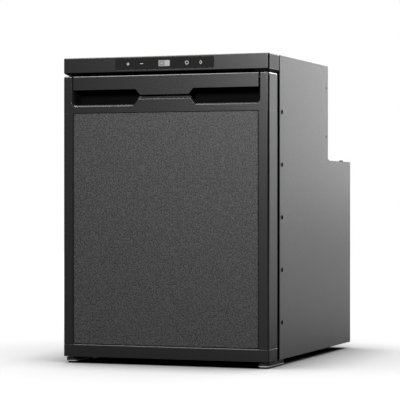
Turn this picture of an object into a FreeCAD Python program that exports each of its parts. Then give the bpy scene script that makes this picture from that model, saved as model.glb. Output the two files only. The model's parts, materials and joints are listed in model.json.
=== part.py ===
"""A front-opening compressor fridge for a camper, built up from its separate pieces.

Lengths are in millimetres. X runs to the right as seen from the front, Y to the rear
and Z up. The origin is on the floor under the middle of the fridge.
"""

import FreeCAD
import Part
import math
import os

from FreeCAD import Vector

# Overall size
overall_width = 380.0
overall_height = 534.0
overall_depth = 500.0
foot_height = 11.5
front_depth = 59.0  # the door, its seal and the fascia, ahead of the cabinet's front plane
machine_depth = 151.0  # the step behind the upper cabinet
step_height = 347.5  # the machine compartment, above the cabinet's underside

# Steel sheet and the cabinet's folds
sheet = 1.2
bend_radius = 1.6
front_fold = 18.0
frame_thickness = 2.0  # header and liner flange, between the front folds
sill_height = 18.0
header_drop = 3.0  # how far the header reaches below the fascia

# Fixing holes down the front edge of each side panel
fixing_hole_radius = 3.0
fixing_hole_inset = 12.0
fixing_hole_count = 5
fixing_hole_pitch = 90.5
lowest_fixing_hole = 63.4
screw_channel_width = 14.0  # groove in the foam for the tips of the fixing screws
screw_channel_depth = 10.0
screw_channel_overrun = 20.0

# Fascia and controls
fascia_height = 26.5
fascia_gap = 5.3
fascia_wall = 2.5
fascia_rebate = (3.5, 1.5)  # shadow line against the cabinet: width and depth
skirt_setback = 40.0
skirt_thickness = 4.0
skirt_clearance = 1.0
skirt_inset = 3.0
corner_radius = 3.6
soft_edge = 1.0
control_width = 182.0
control_height = 20.3
control_radius = 3.5
control_thickness = 1.6
control_drop = 2.7
display_width = 21.0
display_height = 10.3
board_width = 150.0
board_height = 17.0
board_thickness = 1.6

# Door
door_thickness = 45.0
top_cap_height = 64.7
bottom_cap_height = 21.5
post_width = 18.0
cap_bevel = 1.0
decor_thickness = 3.0
decor_setback = 4.0
groove_depth = 5.0
field_setback = 0.6  # the decor panel's raised field, behind the posts' front
field_bevel = 1.0
field_side_gap = 1.6
field_end_gap = 0.7
plinth_inset = 12.0
plinth_depth = 18.0
plinth_radius = 10.0
door_liner_thickness = 2.0
door_liner_margin = 14.0
gasket_width = 16.0
gasket_inset = 2.0
gasket_squeeze = 0.3
gasket_layers = ((0.25, 1.0), (0.25, 5.0), (0.1, 3.0), (0.4, 0.0))  # share of height, inset

# Handle and latch
handle_height = 24.5
handle_thickness = 5.0
handle_seam = 1.0
handle_edge = 3.0
handle_flange_depth = 11.0
handle_axis_setback = 8.0
handle_axis_drop = 8.0
handle_rib = 9.0
handle_pin_radius = 2.0
handle_pin_length = 18.0
grip_height = 26.7
grip_depth = 34.0
grip_corner = 7.0
roof_setback = 14.5
cap_wall = 3.0
tab_half_width = 45.0
tab_drop = 10.1
tab_slope = 0.82  # sideways run of the tab's and lip's ends per height
tab_slot = 2.7
lip_half_width = 47.0
lip_thickness = 7.0
lip_step = 2.6  # from the top of the lip's front face to its crest
lip_front = 3.0  # thickness of the lip in front of the step
lip_bevel = 2.6
crest_radius = 1.0
well_wall = 1.2  # dark linings of the two grips
well_start = 20.0  # from the middle of the door
well_top_gap = 1.0
well_back_rise = 8.0
drive_arm = 18.0
drive_pin_radius = 1.5
arm_offset = 10.0
arm_width = 4.0
arm_height = 6.0
arm_overhang = 3.5
bolt_width = 18.0
bolt_thickness = 9.0
bolt_tail = 19.0  # below the drive pin
bolt_nose_gap = 0.4
nose_bevel = 4.0
guide_wall = 4.0
guide_drop = 12.0  # from the drive pin to the top of the guide
guide_height = 16.0
guide_window = 10.0
strike_width = 44.0
strike_thickness = 1.6
strike_margin = 8.0
spring_width = 10.0
spring_thickness = 0.6

# Hinge
hinge_inset = 12.0
hinge_setback = 18.0
hinge_pin_radius = 2.5
hinge_pin_depth = 14.0
hinge_bore_depth = 16.0
bracket_thickness = 3.0
bracket_gap = 0.4
bracket_inset = 2.0
bracket_width = 28.0
bracket_nose = 4.0  # front of the door to the front of the brackets
bracket_flange = 22.0
lower_bracket_top_gap = 1.5
lower_bracket_width = 20.0
lower_bracket_reach = 28.0  # behind the cabinet's front plane
bracket_radius = 8.0
pad_height = 3.0
pad_inset = 2.0

# Feet at the rear
rear_foot_radius = 17.0
rear_foot_sides = 24
rear_foot_inset = 45.0

# Food compartment
side_wall = 40.0
floor_wall = 40.0
ceiling_wall = 56.0
rear_wall = 45.0
liner = 2.0
liner_radius = 10.0
rib_width = 6.0
rib_height = 5.0
shelf_heights = (115.0, 220.0)
shelf_setback = 88.0  # behind the cabinet's front plane
shelf_wire = 2.5
shelf_rod = 1.5
shelf_rods = 8
shelf_bend = 14.0
shelf_side_gap = 0.7
shelf_rear_gap = 5.0
lamp_size = (4.0, 40.0, 36.0)
lamp_setback = 40.0
lamp_drop = 30.0
sensor_size = (24.0, 9.0, 34.0)
sensor_inset = 45.0
sensor_rise = 250.0

# Icebox
icebox_inset = 12.0
icebox_height = 92.0
icebox_setback = 113.0
icebox_rear_gap = 4.0
icebox_sheet = 1.5
icebox_frame_depth = 12.0
icebox_frame_side = 6.0
icebox_frame_top = 4.0
flap_thickness = 4.0
flap_gap = 0.6
flap_bottom_gap = 1.0
flap_setback = 2.0
flap_axis_drop = 9.0
flap_pin_radius = 1.5
flap_pin_length = 3.0
flap_grip = (40.0, 4.0, 3.0)

# Door racks
rack_inset = 22.0
rack_depth = 62.0
rack_wall = 2.0
rack_radius = 15.0
lower_rack_height = 70.0
lower_rack_rise = 8.0
upper_rack_height = 55.0
upper_rack_rise = 190.0

# Machine compartment
slot_width = 6.0
grille_columns = 3
grille_rows = 14
grille_margin = 22.0
grille_bar = 12.0
step_slots = 16
step_margin = 30.0
compressor_inset = 94.0  # from the right side panel to its axis
compressor_rear = 76.0  # from the rear face to its axis
compressor_lift = 14.0
compressor_radius = 64.0
compressor_height = 148.0
compressor_sides = 24
compressor_plate = (150.0, 110.0, 3.0)
grommet_radius = 9.0
grommet_sides = 12
stub_radius = 5.0
stub_offset = 30.0
stub_height = 17.0
condenser_width = 150.0
condenser_height = 200.0
condenser_depth = 18.0
condenser_inset = 14.0  # from the left side panel
condenser_rear = 36.0
condenser_lift = 22.0
condenser_tubes = 7
condenser_tube = 2.0
header_width = 16.0
fin_folds = 8
fin_sheet = 0.5
fan_size = 119.0
fan_depth = 25.0
fan_lift = 61.0
fan_duct_radius = 56.0
fan_duct_sides = 28
fan_tip_gap = 3.0
fan_hub_radius = 18.0
fan_cup_depth = 5.0
fan_blades = 7
fan_blade = 1.4
fan_blade_pitch = 35.0
fan_shaft_radius = 1.5
fan_struts = 4
fan_strut = 6.0
module_size = (110.0, 38.0, 80.0)
module_lift = 210.0
drier_gap = 11.0  # between the drier and the compressor
drier_y_gap = 42.0  # behind the upper back panel
drier_lift = 100.0
drier_radius = 10.0
drier_length = 80.0
drier_sides = 16
line_radius = 4.0
liquid_radius = 3.0
capillary_radius = 1.5
line_bend = 12.0
line_rise = 60.0
suction_rise = 130.0
capillary_rise = 50.0
tube_sides = 8
inlet_size = (44.0, 16.0, 18.0)
inlet_contact = (10.0, 8.0)
inlet_inset = 49.0
inlet_lift = 14.0

# Screw heads on the outside
head_radius = 4.0
head_height = 2.8
head_sides = 16
cover_screw_inset = 9.0
cover_screw_end = 28.0

# Clearances
slip = 0.3  # between pieces that move past each other
running = 0.05  # around pins and shafts
seat = 0.15  # around pieces that drop into a recess
beyond = 1.0  # how far a cutting tool runs past the piece
near = 0.01  # when edges are looked up by where they are

# Planes that follow from the sizes
half_width = overall_width / 2
x_inside = half_width - sheet
x_fold = half_width - front_fold
y_front = -overall_depth / 2
y_rear = overall_depth / 2
y_cabinet = y_front + front_depth
y_upper_rear = y_rear - machine_depth
y_frame = y_cabinet + frame_thickness
z_base = foot_height
z_floor = z_base + sheet
z_top = overall_height
z_step = z_base + step_height
z_sill = z_base + sill_height
z_fascia = z_top - fascia_height
z_header = z_fascia - header_drop
y_fixing = y_cabinet + fixing_hole_inset
fixing_heights = [
    z_base + lowest_fixing_hole + i * fixing_hole_pitch for i in range(fixing_hole_count)
]

z_door_bottom = z_base
z_door_top = z_fascia - fascia_gap
y_door_back = y_front + door_thickness
x_post = half_width - post_width
z_top_cap = z_door_top - top_cap_height
z_bottom_cap = z_door_bottom + bottom_cap_height
y_decor = y_front + decor_setback
y_field = y_front + field_setback
y_decor_back = y_decor + decor_thickness
y_door_liner = y_door_back + door_liner_thickness
y_plinth = y_door_back + plinth_depth

x_handle = x_post - handle_seam
y_grip = y_front + grip_depth
z_handle = z_door_top - handle_height
z_grip = z_handle - grip_height
z_tab = z_handle - tab_drop
z_lip = z_tab - tab_slot
y_axis = y_front + handle_axis_setback
z_axis = z_door_top - handle_axis_drop
y_drive = y_axis + drive_arm
z_strike = z_fascia - strike_thickness
z_nose = z_strike - bolt_nose_gap
z_tail = z_axis - bolt_tail
z_guide = z_axis - guide_drop - guide_height
y_bolt_front = y_drive - bolt_thickness / 2
y_bolt_back = y_drive + bolt_thickness / 2

x_hinge = half_width - hinge_inset
y_hinge = y_front + hinge_setback
y_bracket = y_front + bracket_nose
x_bracket = half_width - bracket_inset
z_bracket = z_fascia - bracket_gap
z_lower_bracket = z_base - lower_bracket_top_gap

x_cavity = half_width - side_wall
y_cavity_rear = y_upper_rear - rear_wall
z_cavity_floor = z_base + floor_wall
z_cavity_top = z_top - ceiling_wall
x_icebox = x_cavity - icebox_inset
y_icebox = y_cabinet + icebox_setback
y_icebox_frame = y_icebox - icebox_frame_depth
z_icebox = z_cavity_top - icebox_height
y_flap = y_icebox_frame + flap_setback
y_flap_axis = y_flap + flap_thickness / 2
z_flap_axis = z_cavity_top - flap_axis_drop
y_shelf = y_cabinet + shelf_setback
x_rack = x_cavity - rack_inset
x_plinth = x_cavity - plinth_inset
z_plinth_bottom = z_cavity_floor + plinth_inset
z_plinth_top = z_cavity_top - plinth_inset

x_compressor = x_inside - compressor_inset
y_compressor = y_rear - compressor_rear
z_compressor = z_floor + compressor_lift
z_plate = z_compressor - compressor_plate[2]
x_condenser = -x_inside + condenser_inset + condenser_width / 2
y_condenser = y_rear - condenser_rear
z_condenser = z_floor + condenser_lift
x_header = condenser_width / 2 - header_width / 2
y_fan_back = y_rear - sheet
z_fan = z_floor + fan_lift + fan_size / 2
x_drier = x_compressor - compressor_radius - drier_gap - drier_radius
y_drier = y_upper_rear + drier_y_gap
x_inlet = x_inside - inlet_inset
z_drier = z_floor + drier_lift
z_stub = z_compressor + compressor_height + stub_height


# Ways of making shapes
def block(x, y, z):
    """A block, given as a (low, high) pair along each axis."""
    return Part.makeBox(x[1] - x[0], y[1] - y[0], z[1] - z[0], Vector(x[0], y[0], z[0]))


def rod(radius, start, end):
    """A round bar from one point to another."""
    run = end - start
    return Part.makeCylinder(radius, run.Length, start, run)


def plate(corners, thickness):
    """A flat outline of corner points, thickened along a vector."""
    return face(corners).extrude(thickness)


def face(corners):
    """A flat face inside a run of corner points."""
    return Part.Face(Part.makePolygon(corners + corners[:1]))


def stacked(rings):
    """A solid through a stack of outlines with the same number of corners."""
    faces = [face(rings[0]), face(rings[-1])]
    for lower, upper in zip(rings, rings[1:]):
        for i in range(len(lower)):
            faces.append(face([lower[i - 1], lower[i], upper[i], upper[i - 1]]))
    solid = Part.Solid(Part.Shell(faces))
    if solid.Volume < 0:
        solid.reverse()
    return solid


def lathed(profile, sides, x, y):
    """A turned piece with flat facets, from (radius, height) points on its outside."""
    rings = []
    for radius, z in profile:
        turns = [2 * math.pi * i / sides for i in range(sides)]
        rings.append([Vector(x + radius * math.cos(a), y + radius * math.sin(a), z) for a in turns])
    return stacked(rings)


def mirrored(shape):
    """The same shape on the other side of the fridge's middle plane."""
    return shape.mirror(Vector(0, 0, 0), Vector(1, 0, 0))


def edges(solid, direction, **at):
    """Straight edges of a solid that run along an axis at the given coordinates."""
    found = []
    for edge in solid.Edges:
        if edge.Curve.TypeId != "Part::GeomLine":
            continue
        run = edge.tangentAt(edge.FirstParameter)
        if abs(getattr(run, direction)) < 1 - near:
            continue
        middle = edge.CenterOfMass
        if all(abs(getattr(middle, axis) - value) < near for axis, value in at.items()):
            found.append(edge)
    return found


def rim(solid, axis, value):
    """Edges of a solid that lie in the plane where one coordinate has a given value."""
    found = []
    for edge in solid.Edges:
        points = [vertex.Point for vertex in edge.Vertexes] + [edge.CenterOfMass]
        if all(abs(getattr(point, axis) - value) < near for point in points):
            found.append(edge)
    return found


def round_box(x, y, z, radius):
    """A block with its four edges along Y rounded."""
    solid = block(x, y, z)
    return solid.makeFillet(radius, edges(solid, "y"))


def eased(points, bend):
    """A run of points with each corner cut across at a given distance."""
    run = [points[0]]
    for before, corner, after in zip(points, points[1:], points[2:]):
        run.append(corner + (before - corner).normalize() * bend)
        run.append(corner + (after - corner).normalize() * bend)
    return run + [points[-1]]


def tube(radius, points):
    """A tube with flat sides through a run of points, mitred where it turns."""
    run = (points[1] - points[0]).normalize()
    side = run.cross(Vector(0, 0, 1))
    if side.Length < near:
        side = run.cross(Vector(0, 1, 0))
    side.normalize()
    lift = run.cross(side)
    reach = radius / math.cos(math.pi / tube_sides)
    turns = [2 * math.pi * (i + 0.5) / tube_sides for i in range(tube_sides)]
    ring = [points[0] + (side * math.cos(a) + lift * math.sin(a)) * reach for a in turns]
    rings = [ring]
    for i in range(1, len(points)):
        run = (points[i] - points[i - 1]).normalize()
        after = points[i + 1] - points[i] if i + 1 < len(points) else run
        across_joint = (run + after.normalize()).normalize()
        ring = [
            corner + run * ((points[i] - corner).dot(across_joint) / run.dot(across_joint))
            for corner in ring
        ]
        rings.append(ring)
    return stacked(rings)


def across(radius, x, y, z):
    """A round bar along X between two X values."""
    return rod(radius, Vector(x[0], y, z), Vector(x[1], y, z))


def upright(radius, x, y, z):
    """A round bar along Z between two heights."""
    return rod(radius, Vector(x, y, z[0]), Vector(x, y, z[1]))


# Cabinet
def right_side_panel():
    outline = [
        (y_cabinet, z_base),
        (y_rear, z_base),
        (y_rear, z_step),
        (y_upper_rear, z_step),
        (y_upper_rear, z_top),
        (y_cabinet, z_top),
    ]
    web = plate([Vector(half_width, y, z) for y, z in outline], Vector(-sheet, 0, 0))
    fold = block((x_fold, half_width), (y_cabinet, y_cabinet + sheet), (z_base, z_top))
    panel = web.fuse(fold).removeSplitter()
    panel = panel.makeFillet(bend_radius, edges(panel, "z", x=half_width, y=y_cabinet))
    through = (x_inside - beyond, half_width + beyond)
    return panel.cut([across(fixing_hole_radius, through, y_fixing, z) for z in fixing_heights])


def top_panel():
    return block((-x_inside, x_inside), (y_frame, y_upper_rear - sheet), (z_top - sheet, z_top))


def upper_back_panel():
    return block((-x_inside, x_inside), (y_upper_rear - sheet, y_upper_rear), (z_floor, z_top))


def base_pan():
    pan = block((-x_inside, x_inside), (y_cabinet + sheet, y_rear), (z_base, z_floor))
    between_folds = (-x_fold + seat, x_fold - seat)
    front = block(between_folds, (y_cabinet, y_cabinet + sheet + near), (z_base, z_floor))
    lip = block(between_folds, (y_cabinet, y_cabinet + sheet), (z_base, z_sill))
    return pan.fuse([front, lip]).removeSplitter()


def front_header():
    between_folds = (-x_fold + seat, x_fold - seat)
    return block(between_folds, (y_cabinet, y_frame), (z_header, z_top - sheet))


def insulation_foam():
    foam = block(
        (-x_inside, x_inside), (y_frame, y_upper_rear - sheet), (z_floor, z_top - sheet)
    )
    reach = x_cavity + liner
    hollow = block(
        (-reach, reach),
        (y_frame - beyond, y_cavity_rear + liner),
        (z_cavity_floor - liner, z_cavity_top + liner),
    )
    channel = block(
        (x_inside - screw_channel_depth, x_inside + beyond),
        (y_fixing - screw_channel_width / 2, y_fixing + screw_channel_width / 2),
        (fixing_heights[0] - screw_channel_overrun, fixing_heights[-1] + screw_channel_overrun),
    )
    return foam.cut([hollow, channel, mirrored(channel)])


def inner_liner():
    reach = x_cavity + liner
    shell = round_box(
        (-reach, reach),
        (y_cabinet, y_cavity_rear + liner),
        (z_cavity_floor - liner, z_cavity_top + liner),
        liner_radius + liner,
    )
    between_folds = (-x_fold + seat, x_fold - seat)
    flange = block(between_folds, (y_cabinet, y_frame), (z_sill, z_header))
    inside = round_box(
        (-x_cavity, x_cavity),
        (y_cabinet - beyond, y_cavity_rear),
        (z_cavity_floor, z_cavity_top),
        liner_radius,
    )
    ribs = []
    for height in shelf_heights:
        rib_top = z_cavity_floor + height
        rib = block(
            (x_cavity - rib_width, x_cavity + liner / 2),
            (y_shelf, y_cavity_rear + liner / 2),
            (rib_top - rib_height, rib_top),
        )
        ribs += [rib, mirrored(rib)]
    return shell.fuse(flange).cut(inside).fuse(ribs).removeSplitter()


def foot(side):
    """Lower bracket at one front corner, which carries the door or the corner's foot."""
    outer = x_bracket
    inner = x_bracket - lower_bracket_width
    rear = y_cabinet + lower_bracket_reach
    bar = block((inner, outer), (y_bracket, rear), (pad_height, z_lower_bracket))
    bar = bar.makeFillet(bracket_radius, edges(bar, "z", y=y_bracket))
    riser = block(
        (inner, outer), (y_cabinet + sheet, rear), (z_lower_bracket - near, z_base)
    )
    bracket = bar.fuse(riser).removeSplitter()
    return bracket if side > 0 else mirrored(bracket)


def lower_hinge_bracket():
    pin = upright(hinge_pin_radius + running, x_hinge, y_hinge, (0, z_base))
    return foot(1).cut(pin)


def left_front_foot():
    return foot(-1)


def front_foot_pads():
    pad = block(
        (x_bracket - lower_bracket_width + pad_inset, x_bracket - pad_inset),
        (y_bracket + bracket_radius, y_cabinet + lower_bracket_reach - pad_inset),
        (0, pad_height),
    )
    return Part.makeCompound([pad, mirrored(pad)])


def rear_feet():
    x = half_width - rear_foot_inset
    y = y_rear - rear_foot_inset
    leg = lathed([(rear_foot_radius, 0), (rear_foot_radius, z_base)], rear_foot_sides, x, y)
    return Part.makeCompound([leg, mirrored(leg)])


def upper_hinge_bracket():
    inner = x_bracket - bracket_width
    arm = block(
        (inner, x_bracket), (y_bracket, y_cabinet), (z_bracket - bracket_thickness, z_bracket)
    )
    arm = arm.makeFillet(bracket_radius, edges(arm, "z", y=y_bracket))
    upstand = block(
        (inner, x_fold - seat),
        (y_cabinet - bracket_thickness, y_cabinet),
        (z_bracket - bracket_thickness, z_bracket + bracket_flange),
    )
    pin = upright(hinge_pin_radius + running, x_hinge, y_hinge, (z_door_top, z_top))
    return arm.fuse(upstand).removeSplitter().cut(pin)


def hinge_pins():
    upper = upright(
        hinge_pin_radius, x_hinge, y_hinge, (z_door_top - hinge_pin_depth, z_bracket)
    )
    lower = upright(
        hinge_pin_radius, x_hinge, y_hinge, (pad_height, z_door_bottom + hinge_pin_depth)
    )
    return Part.makeCompound([upper, lower])


def latch_strike():
    slot = (-bolt_width / 2 - beyond, bolt_width / 2 + beyond)
    depth = (y_bolt_front - beyond, y_bolt_back + beyond)
    heights = (z_strike - beyond, z_fascia + beyond)
    strike = block(
        (-strike_width / 2, strike_width / 2),
        (depth[0] - strike_margin, depth[1] + strike_margin),
        (z_strike, z_fascia),
    )
    return strike.cut(block(slot, depth, heights))


def shadow_line():
    """The rebate round the fascia's sides and top where it meets the cabinet."""
    width, depth = fascia_rebate
    reach = half_width + beyond
    core = half_width - depth
    run = (y_cabinet - width, y_cabinet + beyond)
    outer = block((-reach, reach), run, (z_fascia - beyond, z_top + beyond))
    return outer.cut(block((-core, core), run, (z_fascia - beyond, z_top - depth)))


def control_outline(grow, y):
    """The control panel's rounded block between two Y values, larger by a given gap."""
    z_middle = z_top - control_drop - control_height / 2
    solid = block(
        (-control_width / 2 - grow, control_width / 2 + grow),
        y,
        (z_middle - control_height / 2 - grow, z_middle + control_height / 2 + grow),
    )
    return solid.makeFillet(control_radius + grow, edges(solid, "y"))


def display_window(grow, y):
    """The display's block between two Y values, larger by a given gap."""
    z_middle = z_top - control_drop - control_height / 2
    return block(
        (-display_width / 2 - grow, display_width / 2 + grow),
        y,
        (z_middle - display_height / 2 - grow, z_middle + display_height / 2 + grow),
    )


def fascia():
    shell = block((-half_width, half_width), (y_front, y_cabinet), (z_fascia, z_top))
    corners = edges(shell, "z", y=y_front)
    shell = shell.makeFillet(corner_radius, corners)
    front_rims = [
        edge
        for edge in rim(shell, "z", z_top) + rim(shell, "z", z_fascia)
        if edge.CenterOfMass.y < y_cabinet - near
    ]
    shell = shell.makeChamfer(soft_edge, front_rims)
    hollow = block(
        (-half_width + fascia_wall, half_width - fascia_wall),
        (y_front + fascia_wall, y_cabinet + beyond),
        (z_fascia + fascia_wall, z_top - fascia_wall),
    )
    recess = control_outline(seat, (y_front - beyond, y_front + control_thickness))
    window = display_window(0, (y_front, y_front + fascia_wall + beyond))
    notch = block(
        (x_bracket - bracket_width - slip, x_fold + slip),
        (y_cabinet - bracket_thickness - slip, y_cabinet + beyond),
        (z_fascia - beyond, z_fascia + fascia_wall + beyond),
    )
    return shell.cut([hollow, recess, window, notch, shadow_line()])


def fascia_skirt():
    """A lip under the fascia that closes the gap above the door."""
    return block(
        (-half_width + skirt_inset, x_bracket - bracket_width - skirt_inset),
        (y_front + skirt_setback, y_front + skirt_setback + skirt_thickness),
        (z_door_top + skirt_clearance, z_fascia),
    )


def control_panel():
    panel = control_outline(0, (y_front, y_front + control_thickness))
    return panel.cut(display_window(seat, (y_front - beyond, y_front + fascia_wall)))


def display_lens():
    return display_window(0, (y_front, y_front + control_thickness))


def control_board():
    z_middle = z_top - control_drop - control_height / 2
    y_board = y_front + fascia_wall
    return block(
        (-board_width / 2, board_width / 2),
        (y_board, y_board + board_thickness),
        (z_middle - board_height / 2, z_middle + board_height / 2),
    )


# Food compartment
def shelf(height):
    """A wire shelf that lies on the liner's ribs."""
    x = x_cavity - shelf_side_gap - shelf_wire
    rear = y_cavity_rear - shelf_rear_gap - shelf_wire
    z = z_cavity_floor + height + shelf_wire
    corners = [Vector(-x, y_shelf, z), Vector(-x, rear, z), Vector(x, rear, z), Vector(x, y_shelf, z)]
    hoop = tube(shelf_wire, eased(corners, shelf_bend))
    bar = tube(shelf_wire, [corners[0] - Vector(shelf_wire, 0, 0), corners[3] + Vector(shelf_wire, 0, 0)])
    pitch = 2 * x / (shelf_rods + 1)
    rods = []
    for i in range(shelf_rods):
        middle = -x + (i + 1) * pitch
        rods.append(tube(shelf_rod, [Vector(middle, y_shelf, z), Vector(middle, rear, z)]))
    return bar.fuse([hoop] + rods).removeSplitter()


def interior_lamp():
    depth, length, height = lamp_size
    front = y_cabinet + lamp_setback
    top = z_cavity_top - lamp_drop
    lamp = block((-x_cavity, -x_cavity + depth), (front, front + length), (top - height, top))
    return lamp.makeChamfer(depth / 2, rim(lamp, "x", -x_cavity + depth))


def temperature_sensor():
    width, depth, height = sensor_size
    x_middle = x_cavity - sensor_inset
    bottom = z_cavity_floor + sensor_rise
    cover = block(
        (x_middle - width / 2, x_middle + width / 2),
        (y_cavity_rear - depth, y_cavity_rear),
        (bottom, bottom + height),
    )
    return cover.makeChamfer(depth / 3, rim(cover, "y", y_cavity_rear - depth))


def evaporator():
    outer = block(
        (-x_icebox, x_icebox),
        (y_icebox, y_cavity_rear - icebox_rear_gap),
        (z_icebox, z_cavity_top),
    )
    inner = block(
        (-x_icebox + icebox_sheet, x_icebox - icebox_sheet),
        (y_icebox - beyond, y_cavity_rear - icebox_rear_gap - icebox_sheet),
        (z_icebox + icebox_sheet, z_cavity_top - icebox_sheet),
    )
    return outer.cut(inner)


def icebox_frame():
    frame = block((-x_icebox, x_icebox), (y_icebox_frame, y_icebox), (z_icebox, z_cavity_top))
    opening = block(
        (-x_icebox + icebox_frame_side, x_icebox - icebox_frame_side),
        (y_icebox_frame - beyond, y_icebox + beyond),
        (z_icebox + icebox_frame_side, z_cavity_top - icebox_frame_top),
    )
    reach = x_icebox - icebox_frame_side + flap_pin_length
    bore = across(flap_pin_radius + running, (-reach, reach), y_flap_axis, z_flap_axis)
    return frame.cut([opening, bore])


def icebox_flap():
    x = x_icebox - icebox_frame_side - flap_gap
    bottom = z_icebox + icebox_frame_side + flap_bottom_gap
    top = z_cavity_top - icebox_frame_top - flap_bottom_gap
    flap = block((-x, x), (y_flap, y_flap + flap_thickness), (bottom, top))
    width, depth, height = flap_grip
    grip = block(
        (-width / 2, width / 2), (y_flap - depth, y_flap + near), (bottom, bottom + height)
    )
    reach = x + flap_pin_length
    pins = across(flap_pin_radius, (-reach, reach), y_flap_axis, z_flap_axis)
    return flap.fuse([grip, pins]).removeSplitter()


# Machine compartment at the rear
def step_cover():
    cover = block((-x_inside, x_inside), (y_upper_rear, y_rear), (z_step - sheet, z_step))
    run = 2 * (x_inside - step_margin)
    pitch = run / (step_slots - 1)
    slots = []
    for i in range(step_slots):
        x = -run / 2 + i * pitch
        slots.append(
            block(
                (x - slot_width / 2, x + slot_width / 2),
                (y_upper_rear + step_margin, y_rear - step_margin),
                (z_step - sheet - beyond, z_step + beyond),
            )
        )
    return cover.cut(slots)


def rear_grille():
    grille = block(
        (-x_inside, x_inside), (y_rear - sheet, y_rear), (z_floor, z_step - sheet)
    )
    width = (2 * (x_inside - grille_margin) + grille_bar) / grille_columns
    bottom = z_floor + inlet_lift + inlet_size[2] + grille_bar
    pitch = (z_step - grille_margin - slot_width - bottom) / (grille_rows - 1)
    through = (y_rear - sheet - beyond, y_rear + beyond)
    slots = []
    for column in range(grille_columns):
        left = -x_inside + grille_margin + column * width
        for row in range(grille_rows):
            z = bottom + row * pitch
            slots.append(block((left, left + width - grille_bar), through, (z, z + slot_width)))
    return grille.cut(slots + [inlet_block(seat, through)])


def inlet_block(grow, y):
    """The supply inlet's block between two Y values, larger by a given gap."""
    width, _, height = inlet_size
    z = z_floor + inlet_lift
    return block(
        (x_inlet - width / 2 - grow, x_inlet + width / 2 + grow), y, (z - grow, z + height + grow)
    )


def power_inlet():
    """The socket for the supply lead, with a well for each of its two contacts."""
    width, depth, height = inlet_size
    socket = inlet_block(0, (y_rear - depth, y_rear))
    well_width, well_depth = inlet_contact
    z_middle = z_floor + inlet_lift + height / 2
    wells = []
    for x in (x_inlet - width / 4, x_inlet + width / 4):
        wells.append(
            block(
                (x - well_width / 2, x + well_width / 2),
                (y_rear - well_depth, y_rear + beyond),
                (z_middle - well_width / 2, z_middle + well_width / 2),
            )
        )
    return socket.cut(wells)


def compressor():
    radius = compressor_radius
    height = compressor_height
    profile = [
        (0.8 * radius, 0),
        (0.96 * radius, 0.1 * height),
        (radius, 0.2 * height),
        (radius, 0.56 * height),
        (1.04 * radius, 0.56 * height),
        (1.04 * radius, 0.6 * height),
        (radius, 0.6 * height),
        (0.92 * radius, 0.82 * height),
        (0.6 * radius, height),
    ]
    outside = [(r, z_compressor + z) for r, z in profile]
    shell = lathed(outside, compressor_sides, x_compressor, y_compressor)
    stubs = []
    for x in (x_compressor - stub_offset, x_compressor + stub_offset):
        foot_of_stub = Vector(x, y_compressor, z_stub - stub_height)
        stubs.append(tube(stub_radius, [foot_of_stub, Vector(x, y_compressor, z_stub)]))
    return shell.fuse(stubs).removeSplitter()


def compressor_corners():
    """Where the four grommets of the compressor stand."""
    width, depth, _ = compressor_plate
    dx = width / 2 - 1.5 * grommet_radius
    dy = depth / 2 - 1.5 * grommet_radius
    return [
        (x_compressor + i * dx, y_compressor + j * dy) for i in (-1, 1) for j in (-1, 1)
    ]


def compressor_base():
    width, depth, _ = compressor_plate
    return block(
        (x_compressor - width / 2, x_compressor + width / 2),
        (y_compressor - depth / 2, y_compressor + depth / 2),
        (z_plate, z_compressor),
    )


def compressor_grommets():
    waist = (z_floor + z_plate) / 2
    profile = [
        (grommet_radius, z_floor),
        (0.75 * grommet_radius, waist),
        (grommet_radius, z_plate),
    ]
    return Part.makeCompound(
        [lathed(profile, grommet_sides, x, y) for x, y in compressor_corners()]
    )


def condenser_tube_heights():
    """Undersides of the condenser's flat tubes."""
    pitch = (condenser_height - condenser_tube) / (condenser_tubes - 1)
    return [z_condenser + i * pitch for i in range(condenser_tubes)]


def condenser():
    y = (y_condenser - condenser_depth / 2, y_condenser + condenser_depth / 2)
    headers = []
    for x in (x_condenser - x_header, x_condenser + x_header):
        headers.append(
            block(
                (x - header_width / 2, x + header_width / 2),
                (y_condenser - header_width / 2, y_condenser + header_width / 2),
                (z_floor, z_condenser + condenser_height),
            )
        )
    flats = [
        block((x_condenser - x_header, x_condenser + x_header), y, (z, z + condenser_tube))
        for z in condenser_tube_heights()
    ]
    return headers[0].fuse(headers[1:] + flats).removeSplitter()


def condenser_fins():
    """Folded ribbons, one between each pair of flat tubes."""
    heights = condenser_tube_heights()
    reach = x_header - header_width / 2 - slip
    step = reach / fin_folds
    y = y_condenser - condenser_depth / 2
    ribbons = []
    for lower, upper in zip(heights, heights[1:]):
        crest = (lower + condenser_tube, upper - fin_sheet)
        wave = [
            Vector(x_condenser - reach + i * step, y, crest[i % 2])
            for i in range(2 * fin_folds + 1)
        ]
        back = [point + Vector(0, 0, fin_sheet) for point in reversed(wave)]
        ribbons.append(plate(wave + back, Vector(0, condenser_depth, 0)))
    return Part.makeCompound(ribbons)


def along_y(radius, y):
    """A round bar on the fan's axis between two Y values."""
    return rod(radius, Vector(x_condenser, y[0], z_fan), Vector(x_condenser, y[1], z_fan))


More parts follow.
